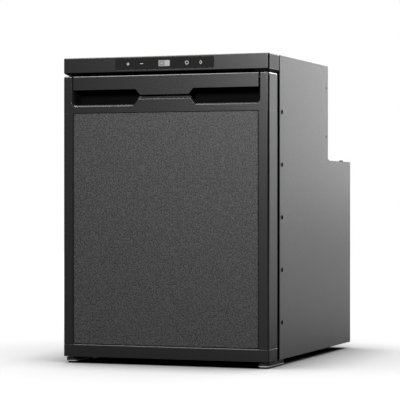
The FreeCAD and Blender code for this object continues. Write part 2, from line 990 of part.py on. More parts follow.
def fan_frame():
    half = fan_size / 2
    y = (y_fan_back - fan_depth, y_fan_back)
    frame = block((x_condenser - half, x_condenser + half), y, (z_fan - half, z_fan + half))
    duct = fan_prism(fan_duct_radius, (y[0] - beyond, y[1] + beyond), fan_duct_sides)
    frame = frame.cut(duct)
    strut = block(
        (x_condenser - fan_strut / 2, x_condenser + fan_strut / 2),
        (y_fan_back - fan_cup_depth, y_fan_back),
        (z_fan, z_fan + fan_duct_radius + beyond),
    )
    middle = Vector(x_condenser, y_fan_back, z_fan)
    struts = []
    for i in range(fan_struts):
        turned_strut = strut.copy()
        turned_strut.rotate(middle, Vector(0, 1, 0), 45 + i * 360 / fan_struts)
        struts.append(turned_strut)
    cup = fan_prism(fan_hub_radius, (y_fan_back - fan_cup_depth, y_fan_back), 2 * fan_blades)
    frame = frame.fuse([cup] + struts).removeSplitter()
    bore = along_y(fan_shaft_radius + running, (y_fan_back - fan_depth, y_fan_back + beyond))
    return frame.cut(bore)


def fan_prism(radius, y, sides):
    """A drum with flat sides on the fan's axis between two Y values."""
    reach = radius / math.cos(math.pi / sides)
    rings = []
    for depth in y:
        ring = []
        for i in range(sides):
            turn = 2 * math.pi * (i + 0.5) / sides
            ring.append(
                Vector(x_condenser + reach * math.sin(turn), depth, z_fan + reach * math.cos(turn))
            )
        rings.append(ring)
    return stacked(rings)


def fan_rotor():
    hub_depth = (y_fan_back - fan_depth + slip, y_fan_back - fan_cup_depth - slip)
    hub = fan_prism(fan_hub_radius, hub_depth, 2 * fan_blades)
    shaft = along_y(fan_shaft_radius, (hub_depth[1] - near, y_fan_back - slip))
    y_middle = sum(hub_depth) / 2
    tip = fan_duct_radius - fan_tip_gap
    root_half = 0.35 * fan_hub_radius
    tip_half = 0.7 * fan_hub_radius
    outline = [
        (-root_half, 0.5 * fan_hub_radius),
        (root_half, 0.5 * fan_hub_radius),
        (tip_half, 0.9 * tip),
        (0.4 * tip_half, 0.97 * tip),
        (-0.4 * tip_half, 0.97 * tip),
        (-tip_half, 0.9 * tip),
    ]
    corners = [Vector(x_condenser + x, y_middle, z_fan + z) for x, z in outline]
    blade = plate(corners, Vector(0, fan_blade, 0))
    middle = Vector(x_condenser, y_middle, z_fan)
    blade.rotate(middle, Vector(0, 0, 1), fan_blade_pitch)
    blades = []
    for i in range(fan_blades):
        turned_blade = blade.copy()
        turned_blade.rotate(middle, Vector(0, 1, 0), i * 360 / fan_blades)
        blades.append(turned_blade)
    return hub.fuse([shaft] + blades).removeSplitter()


def control_module():
    width, depth, height = module_size
    left = x_compressor - width / 2
    bottom = z_floor + module_lift
    case = block(
        (left, left + width), (y_upper_rear, y_upper_rear + depth), (bottom, bottom + height)
    )
    return case.makeChamfer(corner_radius, rim(case, "y", y_upper_rear + depth))


def filter_drier():
    neck = 0.2 * drier_length
    profile = [
        (liquid_radius, z_drier),
        (drier_radius, z_drier + neck),
        (drier_radius, z_drier + drier_length - neck),
        (liquid_radius, z_drier + drier_length),
    ]
    return lathed(profile, drier_sides, x_drier, y_drier)


def refrigerant_lines():
    header_right = x_condenser + x_header
    header_top = z_condenser + condenser_height
    low = z_condenser + liquid_radius
    liquid = [
        Vector(header_right + header_width / 2, y_condenser, low),
        Vector(x_drier, y_condenser, low),
        Vector(x_drier, y_drier, low),
        Vector(x_drier, y_drier, z_drier),
    ]
    drier_top = z_drier + drier_length
    capillary = [
        Vector(x_drier, y_drier, drier_top),
        Vector(x_drier, y_drier, drier_top + capillary_rise),
        Vector(x_drier, y_upper_rear, drier_top + capillary_rise),
    ]
    discharge_x = x_compressor - stub_offset
    discharge = [
        Vector(discharge_x, y_compressor, z_stub),
        Vector(discharge_x, y_compressor, z_stub + line_rise),
        Vector(header_right, y_condenser, z_stub + line_rise),
        Vector(header_right, y_condenser, header_top),
    ]
    suction_x = x_compressor + stub_offset
    suction = [
        Vector(suction_x, y_compressor, z_stub),
        Vector(suction_x, y_compressor, z_stub + suction_rise),
        Vector(suction_x, y_upper_rear, z_stub + suction_rise),
    ]
    return Part.makeCompound(
        [
            tube(liquid_radius, eased(liquid, line_bend)),
            tube(capillary_radius, eased(capillary, line_bend)),
            tube(line_radius, eased(discharge, line_bend)),
            tube(line_radius, eased(suction, line_bend)),
        ]
    )


# Screw heads outside the cabinet
def step_cover_screws():
    x = x_inside - cover_screw_inset
    profile = [(head_radius, z_step), (0.7 * head_radius, z_step + head_height)]
    heads = []
    for y in (y_upper_rear + cover_screw_end, y_rear - cover_screw_end):
        head = lathed(profile, head_sides, x, y)
        heads += [head, mirrored(head)]
    return Part.makeCompound(heads)


# Door
def bevelled_cap(z):
    """A full-width door cap between two heights, with rounded front corners."""
    cap = block((-half_width, half_width), (y_front, y_door_back), z)
    return cap.makeFillet(corner_radius, edges(cap, "z", y=y_front))


def decor_groove(z):
    """The slot that a cap leaves for the edge of the decor panel."""
    reach = x_post + groove_depth
    return block((-reach, reach), (y_decor - seat, y_decor_back + seat), z)


def hinge_bore(z):
    """The hole in a door cap that turns on a hinge pin."""
    return upright(hinge_pin_radius + running, x_hinge, y_hinge, z)


def bolt_channel(grow, z):
    """The latch bolt's upright passage between two heights, larger by a given gap."""
    return block(
        (-bolt_width / 2 - grow, bolt_width / 2 + grow),
        (y_bolt_front - grow, y_bolt_back + grow),
        z,
    )


def grip_lip(y, thickness, height):
    """The raised sill between the two grips, up to a given height."""
    z_foot = z_grip - near
    foot_end = lip_half_width + tab_slope * (z_lip - z_foot)
    top_end = lip_half_width + tab_slope * (z_lip - height)
    return plate(
        [
            Vector(-foot_end, y, z_foot),
            Vector(foot_end, y, z_foot),
            Vector(top_end, y, height),
            Vector(-top_end, y, height),
        ],
        Vector(0, thickness, 0),
    )


def door_top_cap():
    cap = bevelled_cap((z_top_cap, z_door_top))
    top_rim = [
        edge for edge in rim(cap, "z", z_door_top) if edge.CenterOfMass.y < y_door_back - near
    ]
    cap = cap.makeFillet(handle_edge, top_rim)
    pocket = block((-x_post, x_post), (y_front - beyond, y_grip), (z_grip, z_door_top - cap_wall))
    pocket = pocket.makeFillet(grip_corner, edges(pocket, "y", z=z_grip))
    mouth = block(
        (-x_post, x_post), (y_front - beyond, y_front + roof_setback), (z_handle, z_door_top + beyond)
    )
    guide_half = bolt_width / 2 + slip + guide_wall
    guide_heights = (z_guide, z_guide + guide_height)
    guide = block(
        (-guide_half, guide_half), (y_bolt_front - slip - guide_wall, y_grip + near), guide_heights
    )
    window = block(
        (-guide_window / 2, guide_window / 2),
        (y_bolt_front - slip - guide_wall - beyond, y_bolt_front),
        (guide_heights[0] - beyond, guide_heights[1] + beyond),
    )
    cap = cap.cut([pocket, mouth]).fuse(grip_lip(y_front, lip_front, z_lip - lip_step)).removeSplitter()
    sill_edges = [
        edge for edge in rim(cap, "y", y_front) if z_grip - near < edge.CenterOfMass.z < z_lip + near
    ]
    cap = cap.makeChamfer(lip_bevel, sill_edges)
    crest = grip_lip(y_front + lip_front, lip_thickness - lip_front, z_lip)
    crest = crest.makeFillet(crest_radius, edges(crest, "x", y=y_front + lip_front, z=z_lip))
    cap = cap.fuse([crest, guide]).removeSplitter()
    pin_reach = x_post + handle_pin_length / 2
    pin_bore = across(handle_pin_radius + running, (-pin_reach, pin_reach), y_axis, z_axis)
    return cap.cut(
        [
            window,
            bolt_channel(slip, (z_guide - beyond, z_door_top + beyond)),
            pin_bore,
            hinge_bore((z_door_top - hinge_bore_depth, z_door_top + beyond)),
            decor_groove((z_top_cap - beyond, z_top_cap + groove_depth)),
        ]
    )


def grip_wells():
    """Dark linings on the floor, back and outer end of the two grips."""
    end = x_post - seat
    front = y_front + lip_thickness + slip
    back = y_grip - seat
    floor = z_grip + seat
    top = z_handle - well_top_gap
    shell = block((well_start, end), (front, back), (floor, top))
    shell = shell.makeFillet(grip_corner - seat, edges(shell, "y", x=end, z=floor))
    room = block(
        (well_start - beyond, end - well_wall),
        (front - beyond, back - well_wall),
        (floor + well_wall, top + beyond),
    )
    inner_corner = edges(room, "y", x=end - well_wall, z=floor + well_wall)
    room = room.makeFillet(grip_corner - seat - well_wall, inner_corner)
    rise = block((well_start, end), (back - well_wall, back), (top - near, top + well_back_rise))
    well = shell.cut(room).fuse(rise).removeSplitter()
    return Part.makeCompound([well, mirrored(well)])


def door_bottom_cap():
    cap = bevelled_cap((z_door_bottom, z_bottom_cap))
    top_rim = [
        edge for edge in rim(cap, "z", z_bottom_cap) if edge.CenterOfMass.y < y_door_back - near
    ]
    cap = cap.makeChamfer(cap_bevel, top_rim)
    return cap.cut(
        [
            hinge_bore((z_door_bottom - beyond, z_door_bottom + hinge_bore_depth)),
            decor_groove((z_bottom_cap - groove_depth, z_bottom_cap + beyond)),
        ]
    )


def door_right_post():
    post = block(
        (x_post, half_width),
        (y_front, y_door_back),
        (z_bottom_cap, z_top_cap),
    )
    post = post.makeFillet(corner_radius, edges(post, "z", x=half_width, y=y_front))
    groove = block(
        (x_post - beyond, x_post + groove_depth),
        (y_decor - seat, y_decor_back + seat),
        (z_bottom_cap - beyond, z_top_cap + beyond),
    )
    return post.cut(groove)


def decor_panel():
    tongue = groove_depth - seat
    panel = block(
        (-x_post - tongue, x_post + tongue),
        (y_decor, y_decor_back),
        (z_bottom_cap - tongue, z_top_cap + tongue),
    )
    x_field = x_post - field_side_gap
    field = block(
        (-x_field, x_field),
        (y_field, y_decor + near),
        (z_bottom_cap + field_end_gap, z_top_cap - field_end_gap),
    )
    field = field.makeChamfer(field_bevel, rim(field, "y", y_field))
    return panel.fuse(field).removeSplitter()


def door_foam():
    core = block((-x_post, x_post), (y_decor_back, y_door_back), (z_bottom_cap, z_top_cap))
    wall = door_liner_thickness
    plinth = block(
        (-x_plinth + wall, x_plinth - wall),
        (y_door_back, y_plinth - wall),
        (z_plinth_bottom + wall, z_plinth_top - wall),
    )
    return core.fuse(plinth).removeSplitter()


def door_liner():
    wall = door_liner_thickness
    sheet_part = block(
        (-x_post, x_post),
        (y_door_back, y_door_liner),
        (z_door_bottom + door_liner_margin, z_door_top - cap_wall),
    )
    plinth = round_box(
        (-x_plinth, x_plinth),
        (y_door_back, y_plinth),
        (z_plinth_bottom, z_plinth_top),
        plinth_radius,
    )
    hollow = block(
        (-x_plinth + wall, x_plinth - wall),
        (y_door_back - beyond, y_plinth - wall),
        (z_plinth_bottom + wall, z_plinth_top - wall),
    )
    return sheet_part.fuse(plinth).removeSplitter().cut(hollow)


def gasket_ring(inset, y):
    """One layer of the door seal, drawn in from both its edges."""
    inner_x = x_cavity + gasket_inset + inset
    outer_x = x_cavity + gasket_inset + gasket_width - inset
    low = z_cavity_floor - gasket_inset
    high = z_cavity_top + gasket_inset
    outer = block(
        (-outer_x, outer_x), y, (low - gasket_width + inset, high + gasket_width - inset)
    )
    inner = block(
        (-inner_x, inner_x), (y[0] - beyond, y[1] + beyond), (low - inset, high + inset)
    )
    return outer.cut(inner)


def door_gasket():
    height = y_cabinet - gasket_squeeze - y_door_liner
    y = y_door_liner
    rings = []
    for share, inset in gasket_layers:
        rings.append(gasket_ring(inset, (y, y + share * height)))
        y += share * height
    return rings[0].fuse(rings[1:]).removeSplitter()


def rack(rise, height):
    """An open tray on the back of the door."""
    z = z_plinth_bottom + rise
    outer = block((-x_rack, x_rack), (y_plinth, y_plinth + rack_depth), (z, z + height))
    outer = outer.makeFillet(rack_radius, edges(outer, "z", y=y_plinth + rack_depth))
    inner = block(
        (-x_rack + rack_wall, x_rack - rack_wall),
        (y_plinth + rack_wall, y_plinth + rack_depth - rack_wall),
        (z + rack_wall, z + height + beyond),
    )
    inner = inner.makeFillet(
        rack_radius - rack_wall, edges(inner, "z", y=y_plinth + rack_depth - rack_wall)
    )
    return outer.cut(inner)


# Handle and latch
def handle_plate():
    outline = [
        (-x_handle, z_door_top),
        (x_handle, z_door_top),
        (x_handle, z_handle),
        (tab_half_width + tab_slope * tab_drop, z_handle),
        (tab_half_width, z_tab),
        (-tab_half_width, z_tab),
        (-tab_half_width - tab_slope * tab_drop, z_handle),
        (-x_handle, z_handle),
    ]
    face = plate([Vector(x, y_front, z) for x, z in outline], Vector(0, handle_thickness, 0))
    flange = block(
        (-x_handle, x_handle),
        (y_front, y_front + handle_flange_depth),
        (z_door_top - cap_wall, z_door_top),
    )
    handle = face.fuse(flange).removeSplitter()
    handle = handle.makeFillet(handle_edge, edges(handle, "x", y=y_front, z=z_door_top))
    rib = block(
        (-x_handle, x_handle),
        (y_front + handle_thickness, y_axis + handle_rib / 2),
        (z_axis - handle_rib / 2, z_axis + handle_rib / 2),
    )
    arm = block(
        (arm_offset, arm_offset + arm_width),
        (y_axis, y_drive + arm_overhang),
        (z_axis - arm_height / 2, z_axis + arm_height / 2),
    )
    handle = handle.fuse([rib, arm, mirrored(arm)]).removeSplitter()
    pin_end = x_handle - handle_pin_length / 2 - seat
    pin_bore = across(
        handle_pin_radius + running, (pin_end, x_handle + beyond), y_axis, z_axis
    )
    reach = arm_offset + arm_width + beyond
    drive_bore = across(drive_pin_radius + running, (-reach, reach), y_drive, z_axis)
    return handle.cut([pin_bore, mirrored(pin_bore), drive_bore])


def handle_pins():
    middle = (x_handle + x_post) / 2
    pin = across(
        handle_pin_radius,
        (middle - handle_pin_length / 2, middle + handle_pin_length / 2),
        y_axis,
        z_axis,
    )
    return Part.makeCompound([pin, mirrored(pin)])


def latch_drive_pin():
    reach = arm_offset + arm_width
    return across(drive_pin_radius, (-reach, reach), y_drive, z_axis)


def latch_bolt():
    bolt = bolt_channel(0, (z_tail, z_nose))
    bolt = bolt.makeChamfer(nose_bevel, edges(bolt, "x", y=y_bolt_back, z=z_nose))
    travel_room = drive_pin_radius + 4 * slip
    slot = block(
        (-bolt_width, bolt_width),
        (y_drive - travel_room, y_drive + travel_room),
        (z_axis - drive_pin_radius - slip, z_axis + drive_pin_radius + slip),
    )
    return bolt.cut(slot)


def latch_spring():
    """A folded leaf between the floor of the grip and the tail of the bolt."""
    top = z_tail - slip - spring_thickness
    rise = (top - z_grip) / 3
    points = [
        (y_bolt_back, z_grip),
        (y_bolt_front, z_grip),
        (y_bolt_back, z_grip + rise),
        (y_bolt_front, z_grip + 2 * rise),
        (y_bolt_back, top),
        (y_bolt_front, top),
    ]
    leaves = []
    for (y_start, z_start), (y_end, z_end) in zip(points, points[1:]):
        corners = [
            Vector(-spring_width / 2, y_start, z_start),
            Vector(-spring_width / 2, y_end, z_end),
            Vector(-spring_width / 2, y_end, z_end + spring_thickness),
            Vector(-spring_width / 2, y_start, z_start + spring_thickness),
        ]
        leaves.append(plate(corners, Vector(spring_width, 0, 0)))
    return leaves[0].fuse(leaves[1:]).removeSplitter()


def pieces():
    """Every piece of the fridge, by name."""
    side_panel = right_side_panel()
    post = door_right_post()
    return {
        "left_side_panel": mirrored(side_panel),
        "right_side_panel": side_panel,
        "top_panel": top_panel(),
        "upper_back_panel": upper_back_panel(),
        "base_pan": base_pan(),
        "front_header": front_header(),
        "insulation_foam": insulation_foam(),
        "inner_liner": inner_liner(),
        "lower_hinge_bracket": lower_hinge_bracket(),
        "left_front_foot": left_front_foot(),
        "front_foot_pads": front_foot_pads(),
        "rear_feet": rear_feet(),
        "upper_hinge_bracket": upper_hinge_bracket(),
        "hinge_pins": hinge_pins(),
        "latch_strike": latch_strike(),
        "fascia": fascia(),
        "fascia_skirt": fascia_skirt(),
        "control_panel": control_panel(),
        "display_lens": display_lens(),
        "control_board": control_board(),
        "lower_shelf": shelf(shelf_heights[0]),
        "upper_shelf": shelf(shelf_heights[1]),
        "interior_lamp": interior_lamp(),
        "temperature_sensor": temperature_sensor(),
        "evaporator": evaporator(),
        "icebox_frame": icebox_frame(),
        "icebox_flap": icebox_flap(),
        "step_cover": step_cover(),
        "rear_grille": rear_grille(),
        "power_inlet": power_inlet(),
        "compressor": compressor(),
        "compressor_base": compressor_base(),
        "compressor_grommets": compressor_grommets(),
        "condenser": condenser(),
        "condenser_fins": condenser_fins(),
        "fan_frame": fan_frame(),
        "fan_rotor": fan_rotor(),
        "control_module": control_module(),
        "filter_drier": filter_drier(),
        "refrigerant_lines": refrigerant_lines(),
        "step_cover_screws": step_cover_screws(),
        "door_top_cap": door_top_cap(),
        "grip_wells": grip_wells(),
        "door_bottom_cap": door_bottom_cap(),
        "door_left_post": mirrored(post),
        "door_right_post": post,
        "decor_panel": decor_panel(),
        "door_foam": door_foam(),
        "door_liner": door_liner(),
        "door_gasket": door_gasket(),
        "lower_door_rack": rack(lower_rack_rise, lower_rack_height),
        "upper_door_rack": rack(upper_rack_rise, upper_rack_height),
        "handle_plate": handle_plate(),
        "handle_pins": handle_pins(),
        "latch_drive_pin": latch_drive_pin(),
        "latch_bolt": latch_bolt(),
        "latch_spring": latch_spring(),
    }


def main():
    os.makedirs("parts", exist_ok=True)
    for name, shape in pieces().items():
        shape.exportStep(os.path.join("parts", name + ".step"))


if __name__ == "__main__":
    main()
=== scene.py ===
"""The looks of a front-opening camper fridge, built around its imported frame.

Lengths are in metres, in the frame's own axes: X to the right, Y to the rear and Z up.
"""

import bmesh
import bpy
import json
import math
from mathutils import Matrix, Vector


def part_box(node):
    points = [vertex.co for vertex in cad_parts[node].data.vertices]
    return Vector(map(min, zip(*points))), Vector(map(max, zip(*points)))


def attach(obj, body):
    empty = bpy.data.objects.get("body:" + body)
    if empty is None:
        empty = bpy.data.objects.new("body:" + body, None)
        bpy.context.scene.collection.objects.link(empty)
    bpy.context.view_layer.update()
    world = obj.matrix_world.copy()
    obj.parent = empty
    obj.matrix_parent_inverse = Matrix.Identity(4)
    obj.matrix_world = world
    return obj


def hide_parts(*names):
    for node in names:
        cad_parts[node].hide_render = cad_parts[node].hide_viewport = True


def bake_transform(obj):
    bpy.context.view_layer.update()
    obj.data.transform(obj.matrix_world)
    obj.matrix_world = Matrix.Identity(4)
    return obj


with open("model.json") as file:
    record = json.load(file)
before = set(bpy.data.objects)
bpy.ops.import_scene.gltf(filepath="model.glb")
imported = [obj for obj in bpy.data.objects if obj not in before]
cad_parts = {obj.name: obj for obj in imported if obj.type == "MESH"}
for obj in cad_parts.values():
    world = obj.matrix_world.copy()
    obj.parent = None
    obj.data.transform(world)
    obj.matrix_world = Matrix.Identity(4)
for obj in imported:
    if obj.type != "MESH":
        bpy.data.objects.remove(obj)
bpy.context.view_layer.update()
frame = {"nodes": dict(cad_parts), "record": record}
record = frame["record"]
mm = 0.001

# Camera, fitted to the photograph's corners
camera_place = (1.18503, -3.26053, 0.28469)
camera_turn = math.radians(20.3926)
camera_lens = 169.17  # with a sensor 36 wide
camera_shift = 0.00125

# Studio
floor_half = 6.0
floor_tone = 0.4  # in the light that it throws back at the fridge
floor_white = 1.1  # brightness that the camera sees in the open
contact_reach = 0.14  # how far from the fridge the floor's contact shadow goes
under_reach = 0.03  # height below which nothing lights the floor under a piece
under_shares = (0.12, 0.42)  # open shares of the sky at which the floor is black and fully seen
fill_strength = 0.5  # of the sky, on matt surfaces
gloss_backdrop = (0.02, 0.2)  # brightness in reflections, at the front and at the rear
rear_fade = (0.6, 0.9)  # directions over which the backdrop fades in, along Y
floor_fade = (0.3, 1.5)  # distances over which the floor turns white in reflections
lamp_aim = (0.0, 0.0, 0.27)
softboxes = {  # place, size and power
    "front_softbox": ((0.21, -1.2, 0.79), (0.2, 0.2), 10.3),
    "top_softbox": ((-0.55, -0.65, 1.76), (0.9, 0.9), 23.0),
    "rear_softbox": ((0.8, 1.9, 1.5), (0.8, 0.8), 34.0),
    "far_softbox": ((0.4, 2.4, 1.0), (0.6, 0.6), 7.5),
    "low_rear_softbox": ((0.67, 2.5, 0.54), (0.5, 0.5), 4.9),
}

# Edges of the carried-over pieces
weld_distance = 0.01 * mm
flat_angle = math.radians(0.5)
sharp_angle = math.radians(28)
rounding_steps = 2
edge_rounding = {
    "cabinet_paint": 0.35 * mm,
    "bracket_paint": 2.2 * mm,
    "black_plastic": 0.35 * mm,
    "wire_white": 0.6 * mm,
}
usual_rounding = 0.25 * mm
own_rounding = {  # pieces whose edges differ from the others of their slot
    "door_left_post": 0.05 * mm,
    "door_right_post": 0.05 * mm,
}

# Grain of the finishes, and the painted highlight on the feet
usual_specular = 0.5
noise_span = (0.3, 0.7)  # where most values of a noise texture lie
moulded_roughness = (0.36, 0.43)  # lowest and highest on the black mouldings
side_roughness = 0.49
fascia_side_roughness = 0.61
base_side_roughness = 0.5
edge_roughness = 0.18
cap_edge_roughness = 0.25
base_edge_roughness = 0.42
edge_turn = (0.985, 0.9995)  # cosines of the turns at which a face counts as an edge or as flat
decor_grains = 400  # per metre
decor_grain_share = 0.7  # weight of the grains against the ground between them
ink_spread = 0.06  # how far a print strays from its tone, as a share
metal_spread = (-0.06, 0.08)  # how far a metal strays from its roughness
highlight_rim = 1.2 * mm  # height of the painted highlight along the feet's lower edge
highlight_fade = 0.4 * mm

# Symbols on the control panel
symbol_relief = 0.06 * mm
symbol_offsets = {"plus": -67.2 * mm, "minus": -41.8 * mm, "power": 41.8 * mm, "mode": 67.2 * mm}
symbol_radius = 2.7 * mm
symbol_stroke = 0.85 * mm
ring_radius = 3.1 * mm
ring_stroke = 0.7 * mm
ring_steps = 40
power_gap = math.radians(22)  # half of the opening at the ring's top
power_mark = (0.8 * ring_stroke, 0.7 * ring_radius)  # width and height of the stroke in it
power_mark_rise = 0.9 * ring_radius
diamond_reach = 1.1 * ring_radius
diamond_stroke = 1.4 * ring_stroke
diamond_width = 0.8  # against its height
digit_height = 8.2 * mm
digit_width = 6.0 * mm
digit_stroke = 0.95 * mm
digit_fill = 0.9  # a stroke's length against the space that it has
digit_offsets = {"minus_sign": -4.2 * mm, "eight": 5.4 * mm}
dark_window = (8.6 * mm, 7.4 * mm)  # unlit part of the display behind the minus sign

# Small fasteners
bush_bore = 2.7 * mm  # a radius, as the next two are
bush_lip = 3.9 * mm
bush_barrel = 2.9 * mm
bush_height = 0.7 * mm
bush_depth = 7.0 * mm
bush_bore_edge = (0.15 * mm, 0.5 * bush_height)  # a chamfer's width, and the height where it starts
bush_lip_edge = (0.2 * mm, 0.4 * bush_height)
bush_steps = (-2, -1, 0, 1, 2)  # places of the bushes, in pitches from the middle one
rivet_radius = 2.0 * mm
rivet_height = 0.7 * mm
rivet_turns = (0, 0.5, 1.0)  # angles up the dome, in radians
rivet_y = 88.0 * mm
rivet_heights = (492.8 * mm, 403.1 * mm)
cover_screw_radius = 4.0 * mm
back_screw_radius = 3.6 * mm
back_screw_height = 1.8 * mm
back_screw_inset = 9.0 * mm
round_sides = 32
recess_notch = 0.4  # a cross recess's width between its arms, against their reach

# A pan head's section, as shares of its radius and height, with its cross recess at the end
screw_section = (
    (0, 0), (1, 0), (1, 0.4), (0.92, 0.72), (0.76, 0.93), (0.6, 1),
    (0.48, 1, recess_notch), (0.3, 0.35, recess_notch), (0, 0.3),
)

# Fascia lip and breaker strip
lip_margin = 0.5 * mm
lip_depth = 29.0 * mm
lip_clearance = 0.2 * mm
strip_thickness = 0.2 * mm
strip_margin = 0.7 * mm

# Leaf spring of the latch
leaf_thickness = 0.6 * mm
leaf_folds = 4
leaf_steps = 96
leaf_sharpness = 0.97

# The seal's section from the door liner to the cabinet, as shares of its width and depth
seal_half_width = 8.0 * mm
seal_section = (
    (0.62, 0.0), (0.72, 0.04), (0.72, 0.12), (0.4, 0.2),
    (0.34, 0.27), (0.5, 0.33), (0.9, 0.38), (0.99, 0.45),
    (0.93, 0.52), (0.62, 0.56), (0.58, 0.6), (0.9, 0.65),
    (1.0, 0.73), (1.0, 0.9), (0.94, 0.97), (0.84, 1.0),
)


# Ways of making materials
def new_material(name, color, roughness, specular=usual_specular):
    """A material with one plain shader, and that shader."""
    material = bpy.data.materials.new(name)
    material.use_nodes = True
    shader = material.node_tree.nodes["Principled BSDF"]
    shader.inputs["Base Color"].default_value = (*color, 1)
    shader.inputs["Roughness"].default_value = roughness
    shader.inputs["Specular IOR Level"].default_value = specular
    return material, shader


def texture(material, kind, **settings):
    """A procedural texture in the frame's coordinates; its scale counts features per metre."""
    tree = material.node_tree
    place = tree.nodes.new("ShaderNodeTexCoord")
    pattern = tree.nodes.new(kind)
    for name, value in settings.items():
        pattern.inputs[name].default_value = value
    tree.links.new(place.outputs["Object"], pattern.inputs["Vector"])
    return pattern


def noise(material, scale, detail):
    """Cloudy values, with a number of finer layers."""
    return texture(material, "ShaderNodeTexNoise", Scale=scale, Detail=detail).outputs[0]


def ranged(tree, value, source, target):
    """A pattern's values stretched from one (low, high) range to another."""
    stretch = tree.nodes.new("ShaderNodeMapRange")
    stretch.inputs["From Min"].default_value = source[0]
    stretch.inputs["From Max"].default_value = source[1]
    stretch.inputs["To Min"].default_value = target[0]
    stretch.inputs["To Max"].default_value = target[1]
    tree.links.new(value, stretch.inputs["Value"])
    return stretch.outputs["Result"]


def toned(tree, value, dark, light):
    """A colour between two tones, by a pattern."""
    mix = tree.nodes.new("ShaderNodeMix")
    mix.data_type = "RGBA"
    mix.inputs["A"].default_value = (*dark, 1)
    mix.inputs["B"].default_value = (*light, 1)
    tree.links.new(value, mix.inputs["Factor"])
    return mix.outputs["Result"]


def tint(material, shader, value, dark, light):
    """Colours the surface between two tones by a pattern."""
    tree = material.node_tree
    tree.links.new(toned(tree, value, dark, light), shader.inputs["Base Color"])


def polish(material, shader, value, low, high):
    """Lets a pattern vary the roughness between two values."""
    tree = material.node_tree
    tree.links.new(ranged(tree, value, noise_span, (low, high)), shader.inputs["Roughness"])


def relief(material, shader, value, depth):
    """Raises the surface by a pattern, with a given depth."""
    tree = material.node_tree
    bump = tree.nodes.new("ShaderNodeBump")
    bump.inputs["Strength"].default_value = 1.0
    bump.inputs["Distance"].default_value = depth
    tree.links.new(value, bump.inputs["Height"])
    tree.links.new(bump.outputs["Normal"], shader.inputs["Normal"])


def combine(tree, operation, *values):
    """A math node on sockets or numbers."""
    node = tree.nodes.new("ShaderNodeMath")
    node.operation = operation
    for socket, value in zip(node.inputs, values):
        if isinstance(value, bpy.types.NodeSocket):
            tree.links.new(value, socket)
        else:
            socket.default_value = value
    return node.outputs[0]


def axes_of(tree, coordinates):
    """The X, Y and Z of a kind of texture coordinates."""
    place = tree.nodes.new("ShaderNodeTexCoord")
    axes = tree.nodes.new("ShaderNodeSeparateXYZ")
    tree.links.new(place.outputs[coordinates], axes.inputs[0])
    return axes.outputs


def faded(tree, coordinates, axis, span, values):
    """A value that changes from one to the other over a span of an axis."""
    return ranged(tree, axes_of(tree, coordinates)[axis], span, values)


def flatness(tree):
    """1 on faces along the piece's axes, and 0 on its rounded and sloping edges."""
    x, y, z = [combine(tree, "ABSOLUTE", axis) for axis in axes_of(tree, "Normal")]
    across = combine(tree, "MAXIMUM", x, y)
    return ranged(tree, combine(tree, "MAXIMUM", across, z), edge_turn, (0.0, 1.0))


def overlay_roughness(material, shader, roughness, share):
    """Takes the shader's roughness to another value, by a share that varies over the piece."""
    tree = material.node_tree
    mix = tree.nodes.new("ShaderNodeMix")
    tree.links.new(share, mix.inputs["Factor"])
    tree.links.new(shader.inputs["Roughness"].links[0].from_socket, mix.inputs["A"])
    mix.inputs["B"].default_value = roughness
    tree.links.new(mix.outputs["Result"], shader.inputs["Roughness"])


def coarsen_sides(material, shader, roughness):
    """Gives a moulding's left and right walls a grain of their own."""
    tree = material.node_tree
    across = axes_of(tree, "Normal")["X"]
    overlay_roughness(material, shader, roughness, combine(tree, "MULTIPLY", across, across))


def smooth_edges(material, shader, roughness):
    """Takes the grain off a moulding's edges, where the mould is polished."""
    tree = material.node_tree
    overlay_roughness(material, shader, roughness, combine(tree, "SUBTRACT", 1.0, flatness(tree)))


def grey(level):
    """A colour without hue."""
    return (level, level, level)


# Finishes
def cabinet_paint():
    """Powder coat over sheet steel, with a fine orange peel."""
    material, shader = new_material("cabinet_paint", grey(0.085), 0.47, specular=0.9)
    tint(material, shader, noise(material, 9, 2), grey(0.082), grey(0.089))
    polish(material, shader, noise(material, 260, 3), 0.44, 0.5)
    relief(material, shader, noise(material, 900, 2), 0.02 * mm)
    return material


def grained_plastic(name, sides=side_roughness, edges=edge_roughness):
    """Black moulded plastic with a fine eroded grain, which differs on its sides and edges."""
    low, high = moulded_roughness
    material, shader = new_material(name, grey(0.006), high, specular=0.9)
    tint(material, shader, noise(material, 700, 2), grey(0.005), grey(0.007))
    polish(material, shader, noise(material, 320, 3), low, high)
    coarsen_sides(material, shader, sides)
    smooth_edges(material, shader, edges)
    relief(material, shader, noise(material, 1500, 2), 0.02 * mm)
    return material


def gloss_black():
    """The clear touch panel over a black print."""
    material, shader = new_material("gloss_black", (0.0145, 0.0138, 0.0134), 0.12)
    polish(material, shader, noise(material, 60, 4), 0.1, 0.16)
    relief(material, shader, noise(material, 250, 2), 0.004 * mm)
    return material


def display_grey():
    """The display's grey diffuser, a little uneven."""
    material, shader = new_material("display_grey", grey(0.22), 0.3)
    tint(material, shader, noise(material, 180, 2), grey(0.2), grey(0.24))
    relief(material, shader, noise(material, 600, 1), 0.004 * mm)
    return material


def print_ink(name, level):
    """A print on the control panel or its display, a little uneven."""
    material, shader = new_material(name, grey(level), 0.35)
    dark, light = (1 - ink_spread) * level, (1 + ink_spread) * level
    tint(material, shader, noise(material, 600, 2), grey(dark), grey(light))
    relief(material, shader, noise(material, 1800, 1), 0.004 * mm)
    return material


